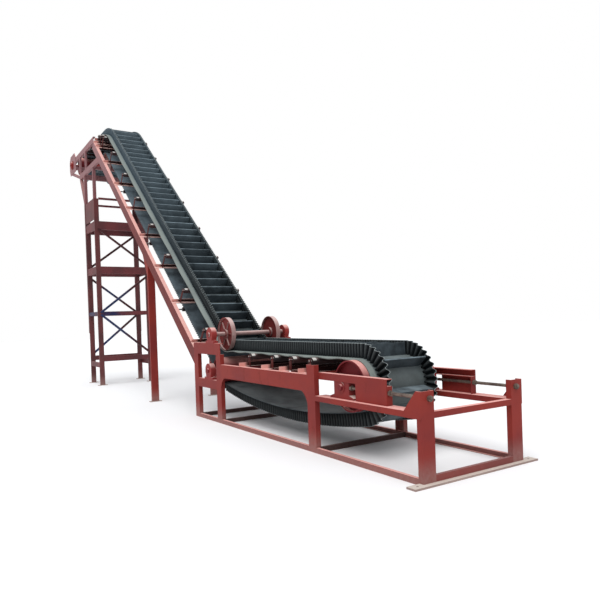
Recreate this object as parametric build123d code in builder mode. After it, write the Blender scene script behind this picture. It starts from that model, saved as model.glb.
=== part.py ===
from build123d import *

# Incline belt conveyor: a corrugated-sidewall belt with cleats on a static steel frame.
# Millimetres. +X points to the tail (loading) end, +Z is up and the near side is -Y.
# The origin is on the floor, under the middle of the overall box.
# A station is a distance from the tail end face of the frame towards the head.
import os
from math import acos, atan2, cos, hypot, pi, radians, sin, sqrt, tan

os.makedirs("parts", exist_ok=True)

# Overall
frame_width = 1420
incline_angle = radians(39.5)
running_gap = 0.5
seat_gap = 0.3
bore_gap = 0.05
plate = 8
bolt_radius = 11

# Rolled sections: depth, flange, wall; angles: leg, wall
post_section = (160, 65, 8)
sill_section = (63, 40, 6)
rail_section = (160, 60, 7)
loading_section = (200, 73, 8)
upper_beam_section = (180, 68, 8)
lower_beam_section = (140, 58, 7)
stringer_section = (200, 73, 8)
leg_section = (140, 58, 7)
tower_leg_section = (120, 53, 6)
chord_section = (140, 58, 7)
web_section = (80, 45, 6)
end_member_section = (100, 48, 6)
guide_section = (80, 75, 8)
bracket_section = (60, 6)
brace_section = (60, 6)
leg_angle_section = (75, 7)

# Tail frame
strip_nose = 60
strip_width = 118
strip_overhang = 160
strip_height = 20
tail_post_rise = 70
gusset_run = 165
gusset_hollow = 0.36
mid_station = 1810
mid_post_drop = 63
idler_stand = 180
bend_frame_back = 400
bend_frame_ahead = 470
upper_bearing_rise = 132.5
lower_bearing_rise = 140
loading_gusset_run = 125
loading_gusset_drop = 165

# Take-up: each bearing block slides in a frame on its rail
guide_setback = 60
guide_above_axis = 60
rail_below_axis = 127
guide_tail_station = 540
guide_web_length = 500
housing_length = 430
housing_foot = 80
foot_lip = 20
foot_rise = 46
housing_depth = 78
screw_radius = 17
nut_radius = 30
nut_length = 30
screw_tail = 40

# Drums and wheels: radius at the belt's back, station and height of the axis
tail_drum_radius = 290
tail_drum_station = 1300
level_height = 1085
head_drum_radius = 250
head_run = 2690
head_height = 6550
bend_drum_radius = 200
bend_drum_drop = 295
bend_drum_height = level_height - bend_drum_drop
drum_face = 1060
drum_wall = 16
drum_recess = 55
drum_disc = 14
shaft_radius = 35
hub_radius = 78
hub_length = 62
shaft_stub = 22
drive_radius = 30
drive_length = 90
wheel_radius = 265
wheel_width = 74
wheel_wall = 14
wheel_disc = 12
wheel_side_gap = 8
rib_count = 6
rib_thick = 12

# Belt
belt_width = 900
belt_thick = 12
belt_edge = 90
sidewall_width = 50
sidewall_height = 170
cleat_height = 150
cleat_root = 34
cleat_tip = 16
cleat_pitch = 252
cleat_end_gap = 4
incline_start = 4780
crest_radius = 1200
return_offset = 420
sag_radius = 9700
shortest_run = 1

# Idlers
idler_radius = 44.5
idler_shaft_radius = 12.5
idler_end_gap = 22
upright_margin = 28
shaft_nut = 12
level_idler_stations = [2050, 2500, 2970, 3630]
incline_idler_first = 585
incline_idler_pitch = 1135
crest_idler_angles = [21, 33]
head_idler_runs = [-170, 610, 1310]
return_roller_first = 1720
return_roller_pitch = 2270
return_roller_margin = 1200
return_roller_radius = 38
return_roller_length = 100

# Bearings
block_radius = 112
block_neck = 90
block_width = 84
block_foot_length = 300
block_foot_height = 34
flange_radius = 90
flange_plate = 12
flange_depth = 50
flange_square = 220

# Stringers, legs, tower and head
stringer_offset = 310
leg_station = 7600
leg_gusset_run = 230
leg_gusset_drop = 260
foot_length = 230
foot_width = 110
foot_thick = 12
foot_bolt_pitch = 184
tower_run = 390
tower_bay = 960
upper_leg_length = 800
splice_bottom = 1370
splice_lap = 30
splice_width = 90
side_plate_depth = 550
chord_drop = 350
top_chord_drop = 240
bottom_chord_back = 800
top_chord_back = 150
head_post_runs = [1190, 1840]
bottom_member_runs = [540, 1750]
end_plate_thick = 12
end_plate_behind = 400
end_plate_ahead = 400
end_plate_below = 250
end_plate_above = 300
end_plate_corner = 150
end_member_drop = 170
diagonal_ahead = 200
diagonal_drop = 210
strut_drop = 740

# Rings of the tower: the lowest one's top, the pitch upwards and the depths, level by level
ring_first = 745
ring_pitch = 1188
ring_depths = [125, 100, 190, 220]
side_ring_lowered = 150
top_ring_depth = 50
ring_flange = 50
ring_wall = 6

# Worked out from the sizes above
side_y = frame_width / 2
slope = tan(incline_angle)
tail_drum_height = level_height - tail_drum_radius
return_height = head_height - 2 * head_drum_radius
sidewall_reach = belt_thick + sidewall_height
crest_start = incline_start + (head_height - level_height) / slope
head_drum_station = crest_start + head_run
head_end = head_drum_station + head_drum_radius + sidewall_reach
tail_x = (strip_nose + head_end) / 2 - strip_nose
post_depth, post_flange, post_wall = post_section
tail_post_top = tail_drum_height + tail_post_rise
rail_top = tail_drum_height - rail_below_axis
rail_bottom = rail_top - rail_section[1]
guide_bottom = tail_drum_height + guide_above_axis
bend_tail_station = incline_start - bend_frame_back
bend_head_station = incline_start + bend_frame_ahead
loading_top = level_height - idler_stand
mid_post_top = level_height - mid_post_drop
press_radius = wheel_radius + running_gap + belt_thick
upper_beam_top = level_height + press_radius - upper_bearing_rise
upper_beam_bottom = upper_beam_top - upper_beam_section[0]
lower_beam_top = bend_drum_height - lower_bearing_rise
mid_post_face = mid_station - post_depth / 2
stringer_bottom_offset = -stringer_offset - stringer_section[0]
drum_half = drum_face / 2
upright_y = drum_half + idler_end_gap
chord_bottom = return_height - chord_drop
bottom_chord_top = chord_bottom + chord_section[0]
top_chord_bottom = head_height - top_chord_drop
top_chord_top = top_chord_bottom + chord_section[0]
bottom_chord_end = head_drum_station - bottom_chord_back
top_chord_end = head_drum_station - top_chord_back
tower_tail_station = crest_start + tower_run
tower_head_station = tower_tail_station + tower_bay
lower_leg_top = chord_bottom - upper_leg_length
splice_top = lower_leg_top + splice_lap


def at(station, across, height):
    """A point given by its station, its place across and its height."""
    return Vector(tail_x - station, across, height)


def side_plane(across):
    """A plane along the conveyor: its x is the station, its y the height, and it faces +Y."""
    return Plane(origin=(tail_x, across, 0), x_dir=(-1, 0, 0), z_dir=(0, 1, 0))


def on_incline(distance, offset):
    """Station and height at a distance up the carrying run, moved square to it by offset."""
    station = incline_start + distance * cos(incline_angle) - offset * sin(incline_angle)
    height = level_height + distance * sin(incline_angle) + offset * cos(incline_angle)
    return station, height


def along_incline(station, height):
    """Distance up the carrying run and offset from it of a point."""
    run = station - incline_start
    rise = height - level_height
    distance = run * cos(incline_angle) + rise * sin(incline_angle)
    offset = rise * cos(incline_angle) - run * sin(incline_angle)
    return distance, offset


def underside_height(station):
    """Height of the stringers' underside at a station."""
    return level_height + (station - incline_start) * slope + stringer_bottom_offset / cos(incline_angle)


def channel_bar(start, end, opening, section):
    """A channel from start to end, the middle of its web on that line, its flanges towards opening."""
    depth, flange, wall = section
    half = depth / 2
    with BuildSketch(Plane(origin=start, x_dir=opening, z_dir=end - start)) as profile:
        Polygon((0, -half), (flange, -half), (flange, wall - half), (wall, wall - half),
                (wall, half - wall), (flange, half - wall), (flange, half), (0, half), align=None)
    extrude(profile.sketch, amount=(end - start).length)


def angle_bar(start, end, opening, section):
    """An angle from start to end with its heel on that line and one leg towards opening."""
    leg, wall = section
    with BuildSketch(Plane(origin=start, x_dir=opening, z_dir=end - start)) as profile:
        Polygon((0, 0), (leg, 0), (leg, wall), (wall, wall), (wall, leg), (0, leg), align=None)
    extrude(profile.sketch, amount=(end - start).length)


def bar_along(start, end, radius, mode=Mode.ADD):
    """A round bar from start to end."""
    with BuildSketch(Plane(origin=start, z_dir=end - start)) as profile:
        Circle(radius)
    extrude(profile.sketch, amount=(end - start).length, mode=mode)


def hexagon_along(start, end, radius):
    """A hexagonal nut or collar from start to end."""
    with BuildSketch(Plane(origin=start, z_dir=end - start)) as profile:
        RegularPolygon(radius, 6)
    extrude(profile.sketch, amount=(end - start).length)


def side_sheet(across, thickness, corners):
    """A flat sheet along the conveyor, from its corners as station and height."""
    with BuildSketch(side_plane(across)) as outline:
        Polygon(*corners, align=None)
    extrude(outline.sketch, amount=thickness)


def round_across(across, length, centre, radius, mode=Mode.ADD):
    """A cylinder across the conveyor, centred at a station and height."""
    with BuildSketch(side_plane(across)) as outline:
        with Locations(centre):
            Circle(radius)
    extrude(outline.sketch, amount=length, mode=mode)


def block(corner, opposite):
    """A rectangular block between two opposite corners."""
    low = Vector(min(corner.X, opposite.X), min(corner.Y, opposite.Y), min(corner.Z, opposite.Z))
    high = Vector(max(corner.X, opposite.X), max(corner.Y, opposite.Y), max(corner.Z, opposite.Z))
    with BuildSketch(Plane(origin=low)) as outline:
        Rectangle(high.X - low.X, high.Y - low.Y, align=(Align.MIN, Align.MIN))
    extrude(outline.sketch, amount=high.Z - low.Z)


def corner_gusset(across, corner, run, drop):
    """A web plate under a corner, its free edge hollowed by an arc."""
    station, height = corner
    with BuildSketch(side_plane(across)) as outline:
        with BuildLine():
            Line((station, height - drop), (station, height))
            Line((station, height), (station + run, height))
            middle = (station + gusset_hollow * run, height - gusset_hollow * drop)
            ThreePointArc((station + run, height), middle, (station, height - drop))
        make_face()
    extrude(outline.sketch, amount=plate)


def from_foot(foot, centre, along, height):
    """Station and height of a point given along and square to the run at an idler's foot."""
    rise = hypot(centre[0] - foot[0], centre[1] - foot[1])
    up = ((centre[0] - foot[0]) / rise, (centre[1] - foot[1]) / rise)
    return foot[0] + along * up[1] + height * up[0], foot[1] - along * up[0] + height * up[1]


def idler_cross_angle(foot, centre, half_span):
    """The cross angle under an idler."""
    half = bracket_section[0] / 2
    heel = from_foot(foot, centre, half, 0)
    toe = from_foot(foot, centre, half, 1)
    angle_bar(at(heel[0], -half_span, heel[1]), at(heel[0], half_span, heel[1]),
              (heel[0] - toe[0], 0, toe[1] - heel[1]), bracket_section)


def idler_upright_pair(foot, centre):
    """An upright at each end of an idler's shaft, standing in the cross angle."""
    leg, wall = bracket_section
    top = hypot(centre[0] - foot[0], centre[1] - foot[1]) + upright_margin
    corners = [(-leg / 2, wall), (leg / 2 - wall, wall), (leg / 2 - wall, top), (-leg / 2, top)]
    for across in (-upright_y - plate, upright_y):
        side_sheet(across, plate, [from_foot(foot, centre, *corner) for corner in corners])
    hole_half = upright_y + plate
    round_across(-hole_half, 2 * hole_half, centre, idler_shaft_radius + seat_gap, Mode.SUBTRACT)


def idler(centre):
    """A roller on its fixed shaft, with a nut outside each upright."""
    round_across(-drum_half, drum_face, centre, idler_radius)
    shaft_half = upright_y + plate + seat_gap + shaft_nut
    round_across(-shaft_half, 2 * shaft_half, centre, idler_shaft_radius)


def pillow_block(centre, seat, across):
    """A round bearing block on a foot that stands at height seat, with a neck between them."""
    half = block_foot_length / 2
    foot_top = seat + block_foot_height
    side_sheet(across, block_width, [(centre[0] - half, seat), (centre[0] + half, seat),
                                     (centre[0] + half, foot_top), (centre[0] + block_neck, foot_top),
                                     (centre[0] + block_neck, centre[1]), (centre[0] - block_neck, centre[1]),
                                     (centre[0] - block_neck, foot_top), (centre[0] - half, foot_top)])
    round_across(across, block_width, centre, block_radius)
    round_across(across, block_width, centre, shaft_radius + bore_gap, Mode.SUBTRACT)


def drum(centre, radius, near_end, far_end):
    """A hollow drum with recessed end discs and hubs on a through shaft."""
    round_across(-drum_half, drum_face, centre, radius - running_gap)
    inner = radius - running_gap - drum_wall
    disc_face = drum_half - drum_recess
    hub_face = disc_face + hub_length - drum_disc
    round_across(-drum_half, drum_recess, centre, inner, Mode.SUBTRACT)
    round_across(disc_face, drum_recess, centre, inner, Mode.SUBTRACT)
    cavity_half = disc_face - drum_disc
    round_across(-cavity_half, 2 * cavity_half, centre, inner, Mode.SUBTRACT)
    round_across(-hub_face, 2 * hub_face, centre, hub_radius)
    round_across(-near_end, near_end + far_end, centre, shaft_radius)


def wheel_pair(centre, shaft_half):
    """Two ribbed disc wheels that press on the belt's edges, on one shaft."""
    near_edge = belt_width / 2 - belt_edge + wheel_side_gap
    middle = near_edge + wheel_width / 2
    inner = wheel_radius - wheel_wall
    for across in (-near_edge - wheel_width, near_edge):
        round_across(across, wheel_width, centre, wheel_radius)
        round_across(across, wheel_width, centre, inner, Mode.SUBTRACT)
    for side in (-1, 1):
        disc_middle = side * middle
        round_across(disc_middle - wheel_disc / 2, wheel_disc, centre, inner)
        round_across(disc_middle - wheel_width / 2, wheel_width, centre, hub_radius)
        rib_depth = wheel_width / 2 - wheel_side_gap
        rib_start = disc_middle if side > 0 else disc_middle - rib_depth
        rib_length = inner - hub_radius / 2
        with BuildSketch(side_plane(rib_start)) as ribs:
            with Locations(centre):
                with PolarLocations(0, rib_count):
                    Rectangle(rib_length, rib_thick, align=(Align.MIN, Align.CENTER))
        extrude(ribs.sketch, amount=rib_depth)
    round_across(-shaft_half, 2 * shaft_half, centre, shaft_radius)


def save(piece, name):
    """Label a finished piece and write its file."""
    piece.part.label = name
    export_step(piece.part, f"parts/{name}.step")


# The belt goes round these circles in turn: centre, radius of the belt's back, and a side
# that is 1 where the centre is inside the loop and -1 where wheels press on the carrying face
bend_half = tan(incline_angle / 2)
tail_centre = (tail_drum_station, tail_drum_height)
hold_down_centre = (incline_start - press_radius * bend_half, level_height + press_radius)
crest_centre = (crest_start + crest_radius * bend_half, head_height - crest_radius)
head_centre = (head_drum_station, head_height - head_drum_radius)
return_start = incline_start + (return_height - level_height) / slope + return_offset / sin(incline_angle)
press_centre = (return_start + press_radius * bend_half, return_height - press_radius)
bend_offset = bend_drum_radius - return_offset
bend_distance = (bend_drum_height - level_height) / sin(incline_angle) - bend_offset / slope
bend_centre = on_incline(bend_distance, bend_offset)

# The slack run hangs in an arc that the tail drum and the bend drum touch from inside
tail_reach = sag_radius - tail_drum_radius
bend_reach = sag_radius - bend_drum_radius
span = hypot(bend_centre[0] - tail_centre[0], bend_centre[1] - tail_centre[1])
span_angle = atan2(bend_centre[1] - tail_centre[1], bend_centre[0] - tail_centre[0])
sag_angle = span_angle + acos((tail_reach ** 2 + span ** 2 - bend_reach ** 2) / (2 * tail_reach * span))
sag_centre = (tail_centre[0] + tail_reach * cos(sag_angle), tail_centre[1] + tail_reach * sin(sag_angle))

belt_circles = [
    (tail_centre, tail_drum_radius, 1),
    (hold_down_centre, press_radius, -1),
    (crest_centre, crest_radius, 1),
    (head_centre, head_drum_radius, 1),
    (press_centre, press_radius, -1),
    (bend_centre, bend_drum_radius, 1),
    (sag_centre, sag_radius, 1),
]


def run_normal(first, second):
    """Angle of the outward normal of the belt between two of its circles."""
    (x0, y0), radius0, side0 = first
    (x1, y1), radius1, side1 = second
    shift = side0 * radius0 - side1 * radius1
    length = sqrt(max(0, (x1 - x0) ** 2 + (y1 - y0) ** 2 - shift ** 2))
    return atan2(y1 - y0, x1 - x0) - atan2(shift, length) + pi / 2


def belt_arcs(offset):
    """Start, middle and end of the arc on each circle, moved outwards from the belt's back."""
    count = len(belt_circles)
    normals = [run_normal(belt_circles[i], belt_circles[(i + 1) % count]) for i in range(count)]
    arcs = []
    for i, (centre, radius, side) in enumerate(belt_circles):
        reach = side * radius + offset
        turn = (side * (normals[i - 1] - normals[i])) % (2 * pi)
        angles = [normals[i - 1] - side * turn * part for part in (0, 0.5, 1)]
        arcs.append([Vector(centre[0] + reach * cos(a), centre[1] + reach * sin(a)) for a in angles])
    for i in range(count):
        # Circles that touch each other leave no straight run between their arcs
        if (arcs[i][0] - arcs[i - 1][2]).length < shortest_run:
            arcs[i][0] = arcs[i - 1][2]
    return arcs


def belt_section(across, width, low_edge, high_edge):
    """A length of the belt across the conveyor, between two edges of two or three points each."""
    with BuildSketch(side_plane(across)) as section:
        with BuildLine():
            for edge in (low_edge, high_edge):
                if len(edge) == 3:
                    ThreePointArc(*edge)
                else:
                    Line(*edge)
            Line(low_edge[0], high_edge[0])
            Line(low_edge[-1], high_edge[-1])
        make_face()
    extrude(section.sketch, amount=width)


def belt_runs(across, width, low, high):
    """The straight runs and the slack run of the belt, between two offsets from its back."""
    low_arcs = belt_arcs(low)
    high_arcs = belt_arcs(high)
    for i in range(len(belt_circles)):
        low_edge = (low_arcs[i - 1][2], low_arcs[i][0])
        high_edge = (high_arcs[i - 1][2], high_arcs[i][0])
        if (low_edge[1] - low_edge[0]).length > shortest_run:
            belt_section(across, width, low_edge, high_edge)
    belt_section(across, width, low_arcs[-1], high_arcs[-1])


def belt_bends(across, width, low, high):
    """The bends of the belt over its drums, idlers and wheels, between two offsets from its back."""
    for low_arc, high_arc in zip(belt_arcs(low)[:-1], belt_arcs(high)[:-1]):
        belt_section(across, width, low_arc, high_arc)


back_arcs = belt_arcs(0)
with BuildLine() as belt_back_line:
    for i in range(1, len(belt_circles)):
        if (back_arcs[i][0] - back_arcs[i - 1][2]).length > shortest_run:
            Line(back_arcs[i - 1][2], back_arcs[i][0])
        ThreePointArc(*back_arcs[i])
    ThreePointArc(*back_arcs[0])
belt_back = belt_back_line.wire()

# Base strip on the floor under the tail posts, with a bolt hole at each end
with BuildPart() as tail_base_strip:
    strip_half = side_y + strip_overhang
    block(at(-strip_nose, -strip_half, 0), at(strip_width - strip_nose, strip_half, strip_height))
    strip_bolt_station = strip_width / 2 - strip_nose
    for across in (strip_overhang / 2 - strip_half, strip_half - strip_overhang / 2):
        bar_along(at(strip_bolt_station, across, 0), at(strip_bolt_station, across, strip_height),
                  bolt_radius, Mode.SUBTRACT)
save(tail_base_strip, "tail_base_strip")

# Sills on edge on the floor, web outwards
sill_depth, sill_flange, sill_wall = sill_section
with BuildPart() as sills:
    sill_end = bend_head_station + post_depth / 2
    channel_bar(at(post_flange, -side_y, sill_depth / 2), at(sill_end, -side_y, sill_depth / 2),
                (0, 1, 0), sill_section)
    mirror(about=Plane.XZ)
save(sills, "sills")

# Members across the base, between the sills and, on the strip, between the tail posts
with BuildPart() as sill_cross_members:
    sill_inside = side_y - sill_flange
    for station in (mid_station, bend_tail_station, bend_head_station):
        face = station - post_depth / 2
        channel_bar(at(face, -sill_inside, sill_depth / 2), at(face, sill_inside, sill_depth / 2),
                    (-1, 0, 0), sill_section)
    tail_inside = side_y - post_depth
    tail_member_height = strip_height + sill_depth / 2
    channel_bar(at(0, -tail_inside, tail_member_height), at(0, tail_inside, tail_member_height),
                (-1, 0, 0), sill_section)
save(sill_cross_members, "sill_cross_members")

# Tail posts, web to the tail, with a gusset plate over the start of the rail
screw_y = side_y - guide_setback - guide_section[1] / 2
with BuildPart() as tail_posts:
    post_middle = post_depth / 2 - side_y
    channel_bar(at(0, post_middle, strip_height), at(0, post_middle, tail_post_top), (-1, 0, 0), post_section)
    gusset_end = post_flange + gusset_run
    side_sheet(-side_y - plate, plate, [(0, rail_bottom), (gusset_end, rail_bottom), (gusset_end, rail_top),
                                        (post_flange, tail_post_top), (0, tail_post_top)])
    bar_along(at(0, -screw_y, tail_drum_height), at(post_wall, -screw_y, tail_drum_height),
              screw_radius + seat_gap, Mode.SUBTRACT)
    mirror(about=Plane.XZ)
save(tail_posts, "tail_posts")

# Posts on the sills, web outwards: station, top
with BuildPart() as side_posts:
    for station, top in ((mid_station, mid_post_top), (bend_tail_station, upper_beam_bottom),
                         (bend_head_station, upper_beam_bottom)):
        channel_bar(at(station, -side_y, sill_depth), at(station, -side_y, top), (0, 1, 0), post_section)
    mirror(about=Plane.XZ)
save(side_posts, "side_posts")

# Take-up rails lie flat, flanges down, between the tail posts and the mid posts
with BuildPart() as take_up_rails:
    rail_middle = rail_section[0] / 2 - side_y
    channel_bar(at(post_flange, rail_middle, rail_top), at(mid_post_face, rail_middle, rail_top),
                (0, 0, -1), rail_section)
    mirror(about=Plane.XZ)
save(take_up_rails, "take_up_rails")

# Member across the tail end at the height of the rails
with BuildPart() as tail_cross_member:
    rail_side_height = (rail_bottom + rail_top) / 2
    channel_bar(at(0, -tail_inside, rail_side_height), at(0, tail_inside, rail_side_height), (-1, 0, 0),
                (rail_section[1], post_flange, rail_section[2]))
save(tail_cross_member, "tail_cross_member")

# Take-up frames: a bar over the block, a web plate at the tail end and an end plate for the screw
guide_depth, guide_flange, guide_wall = guide_section
guide_outer = side_y - guide_setback
with BuildPart() as take_up_frames:
    bar_height = guide_bottom + guide_depth / 2
    channel_bar(at(guide_tail_station, -guide_outer, bar_height), at(mid_post_face, -guide_outer, bar_height),
                (0, 1, 0), guide_section)
    web_end = guide_tail_station + guide_web_length
    side_sheet(-guide_outer, guide_wall, [(guide_tail_station, rail_top), (web_end, rail_top),
                                          (web_end, guide_bottom), (guide_tail_station, guide_bottom)])
    block(at(guide_tail_station, -guide_outer, rail_top),
          at(guide_tail_station + guide_wall, guide_flange - guide_outer, guide_bottom))
    bar_along(at(guide_tail_station, -screw_y, tail_drum_height),
              at(guide_tail_station + guide_wall, -screw_y, tail_drum_height),
              screw_radius + seat_gap, Mode.SUBTRACT)
    mirror(about=Plane.XZ)
save(take_up_frames, "take_up_frames")

# Take-up bearing blocks between the rail and the bar, with flared feet and a round boss
housing_outer = guide_outer - guide_wall
with BuildPart() as take_up_bearings:
    low = rail_top + seat_gap
    high = guide_bottom - seat_gap
    half = housing_length / 2
    body_half = half - housing_foot
    side_sheet(-housing_outer, housing_depth,
               [(tail_drum_station - half, low), (tail_drum_station + half, low),
                (tail_drum_station + half, low + foot_lip),
                (tail_drum_station + body_half, low + foot_rise), (tail_drum_station + body_half, high),
                (tail_drum_station - body_half, high), (tail_drum_station - body_half, low + foot_rise),
                (tail_drum_station - half, low + foot_lip)])
    round_across(-guide_outer, guide_wall, tail_centre, high - tail_drum_height)
    round_across(-guide_outer, guide_wall + housing_depth, tail_centre,
                 shaft_radius + bore_gap, Mode.SUBTRACT)
    mirror(about=Plane.XZ)
save(take_up_bearings, "take_up_bearings")

# Take-up screws, from outside the tail posts to the bearing blocks, with their nuts
with BuildPart() as take_up_screws:
    block_face = tail_drum_station - body_half
    bar_along(at(-screw_tail, -screw_y, tail_drum_height), at(block_face, -screw_y, tail_drum_height),
              screw_radius)
    for start in (-nut_length, post_wall, guide_tail_station - nut_length, block_face - nut_length):
        hexagon_along(at(start, -screw_y, tail_drum_height),
                      at(start + nut_length, -screw_y, tail_drum_height), nut_radius)
    mirror(about=Plane.XZ)
save(take_up_screws, "take_up_screws")

# Rails of the loading part, web outwards
with BuildPart() as loading_rails:
    loading_bottom = loading_top - loading_section[0]
    loading_start = mid_station + post_depth / 2
    loading_end = bend_tail_station - post_depth / 2
    loading_middle = loading_top - loading_section[0] / 2
    channel_bar(at(loading_start, -side_y, loading_middle), at(loading_end, -side_y, loading_middle),
                (0, 1, 0), loading_section)
    mirror(about=Plane.XZ)
save(loading_rails, "loading_rails")

# Beams of the bend frame, on and between its posts
with BuildPart() as upper_beams:
    upper_middle = (upper_beam_bottom + upper_beam_top) / 2
    channel_bar(at(bend_tail_station - post_depth / 2, -side_y, upper_middle),
                at(bend_head_station + post_depth / 2, -side_y, upper_middle), (0, 1, 0), upper_beam_section)
    mirror(about=Plane.XZ)
save(upper_beams, "upper_beams")

with BuildPart() as lower_beams:
    lower_middle = lower_beam_top - lower_beam_section[0] / 2
    channel_bar(at(bend_tail_station + post_depth / 2, -side_y, lower_middle),
                at(bend_head_station - post_depth / 2, -side_y, lower_middle), (0, 1, 0), lower_beam_section)
    mirror(about=Plane.XZ)
save(lower_beams, "lower_beams")

with BuildPart() as hold_down_bearings:
    pillow_block(hold_down_centre, upper_beam_top, -side_y)
    mirror(about=Plane.XZ)
save(hold_down_bearings, "hold_down_bearings")

with BuildPart() as bend_drum_bearings:
    pillow_block(bend_centre, lower_beam_top, -side_y)
    mirror(about=Plane.XZ)
save(bend_drum_bearings, "bend_drum_bearings")

# Stringers, web outwards, cut upright at the bend frame and level under the head
with BuildPart() as stringers:
    stringer_middle = -stringer_offset - stringer_section[0] / 2
    stringer_length = (top_chord_bottom - level_height) / sin(incline_angle) + stringer_section[0] * 2
    low_station, low_height = on_incline(0, stringer_middle)
    high_station, high_height = on_incline(stringer_length, stringer_middle)
    channel_bar(at(low_station, -side_y, low_height), at(high_station, -side_y, high_height),
                (0, 1, 0), stringer_section)
    split(bisect_by=Plane(origin=at(sill_end, 0, 0), z_dir=(-1, 0, 0)), keep=Keep.TOP)
    split(bisect_by=Plane(origin=at(0, 0, top_chord_bottom), z_dir=(0, 0, 1)), keep=Keep.BOTTOM)
    mirror(about=Plane.XZ)
save(stringers, "stringers")

# Idlers up the incline and over the crest: distance up the run, offset from it
incline_length = (head_height - level_height) / sin(incline_angle) - crest_radius * bend_half
incline_idler_places = []
for i in range(1 + int((incline_length - incline_idler_first) / incline_idler_pitch)):
    incline_idler_places.append((incline_idler_first + i * incline_idler_pitch, -seat_gap - idler_radius))
crest_idler_radius = crest_radius - seat_gap - idler_radius
for angle in crest_idler_angles:
    incline_idler_places.append(along_incline(crest_centre[0] - crest_idler_radius * sin(radians(angle)),
                                              crest_centre[1] + crest_idler_radius * cos(radians(angle))))

# Idlers on the head frame: the first is still on the crest
head_idler_places = []
for run in head_idler_runs:
    before_level = max(0, -run)
    drop = crest_idler_radius - sqrt(crest_idler_radius ** 2 - before_level ** 2)
    head_idler_places.append((crest_centre[0] + run, head_height - seat_gap - idler_radius - drop))

# Each idler sits between two uprights on a cross angle: foot, axis, half the angle's length
level_idler_height = level_height - seat_gap - idler_radius
idler_places = []
for station in level_idler_stations:
    idler_places.append(((station, loading_top), (station, level_idler_height), side_y))
for distance, offset in incline_idler_places:
    idler_places.append((on_incline(distance, -stringer_offset), on_incline(distance, offset), side_y))
for station, height in head_idler_places:
    idler_places.append(((station, top_chord_top - bracket_section[0]), (station, height),
                         side_y - chord_section[1]))

with BuildPart() as idler_cross_angles:
    for foot, centre, half_span in idler_places:
        idler_cross_angle(foot, centre, half_span)
save(idler_cross_angles, "idler_cross_angles")

with BuildPart() as idler_uprights:
    for foot, centre, _ in idler_places:
        idler_upright_pair(foot, centre)
save(idler_uprights, "idler_uprights")

with BuildPart() as carrying_idlers:
    for _, centre, _ in idler_places:
        idler(centre)
save(carrying_idlers, "carrying_idlers")

# Stub rollers on the stringers that carry the edges of the returning belt
with BuildPart() as return_rollers:
    roller_offset = -return_offset - belt_thick - seat_gap - return_roller_radius
    roller_start = belt_width / 2 - belt_edge + wheel_side_gap
    stub_end = side_y - stringer_section[2]
    roller_room = incline_length - return_roller_margin - return_roller_first
    for i in range(1 + int(roller_room / return_roller_pitch)):
        centre = on_incline(return_roller_first + i * return_roller_pitch, roller_offset)
        round_across(-roller_start - return_roller_length, return_roller_length, centre, return_roller_radius)
        round_across(-stub_end, stub_end - roller_start - return_roller_length, centre, idler_shaft_radius)
    mirror(about=Plane.XZ)
save(return_rollers, "return_rollers")

# Legs under the middle of the stringers, web to the tail, cut to the slope
underside = Plane(origin=at(incline_start, 0, underside_height(incline_start)),
                  z_dir=(sin(incline_angle), 0, cos(incline_angle)))
with BuildPart() as intermediate_legs:
    leg_depth, leg_flange, leg_wall = leg_section
    leg_middle = leg_depth / 2 - side_y
    leg_edge = leg_station + leg_flange
    channel_bar(at(leg_station, leg_middle, foot_thick),
                at(leg_station, leg_middle, underside_height(leg_edge)), (-1, 0, 0), leg_section)
    split(bisect_by=underside, keep=Keep.BOTTOM)
    mirror(about=Plane.XZ)
save(intermediate_legs, "intermediate_legs")

# Gusset plates: hollowed ones under the loading rails, plain ones between legs and stringers
with BuildPart() as corner_gussets:
    corner_gusset(-side_y, (loading_start, loading_bottom), loading_gusset_run, loading_gusset_drop)
    corner_gusset(-side_y, (loading_end, loading_bottom), -loading_gusset_run, loading_gusset_drop)
    gusset_far = leg_edge + leg_gusset_run
    side_sheet(-side_y, plate, [(leg_edge, underside_height(leg_edge) - leg_gusset_drop),
                                (gusset_far, underside_height(gusset_far)),
                                (leg_edge, underside_height(leg_edge))])
    mirror(about=Plane.XZ)
save(corner_gussets, "corner_gussets")

# Tower legs: channels, web to the tail, and the angles that lengthen them up to the head frame
tower_depth, tower_flange, tower_wall = tower_leg_section
tower_middle = tower_depth / 2 - side_y
with BuildPart() as tower_legs:
    for station in (tower_tail_station, tower_head_station):
        channel_bar(at(station, tower_middle, foot_thick), at(station, tower_middle, lower_leg_top),
                    (-1, 0, 0), tower_leg_section)
    mirror(about=Plane.XZ)
save(tower_legs, "tower_legs")

with BuildPart() as tower_upper_legs:
    for station in (tower_tail_station, tower_head_station):
        angle_bar(at(station, -side_y, lower_leg_top), at(station, -side_y, chord_bottom),
                  (0, 1, 0), leg_angle_section)
    mirror(about=Plane.XZ)
save(tower_upper_legs, "tower_upper_legs")

# Cover bars outside the head-side legs and plates between the legs under the head
with BuildPart() as tower_splices:
    splice_end = tower_head_station + splice_width
    side_sheet(-side_y - plate, plate, [(tower_head_station, splice_bottom), (splice_end, splice_bottom),
                                        (splice_end, splice_top), (tower_head_station, splice_top)])
    mirror(about=Plane.XZ)
save(tower_splices, "tower_splices")

tower_inside = tower_tail_station + tower_flange
with BuildPart() as tower_side_plates:
    side_plate_bottom = lower_leg_top - side_plate_depth
    side_sheet(-side_y, plate, [(tower_inside, side_plate_bottom), (tower_head_station, side_plate_bottom),
                                (tower_head_station, lower_leg_top), (tower_inside, lower_leg_top)])
    mirror(about=Plane.XZ)
save(tower_side_plates, "tower_side_plates")

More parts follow.
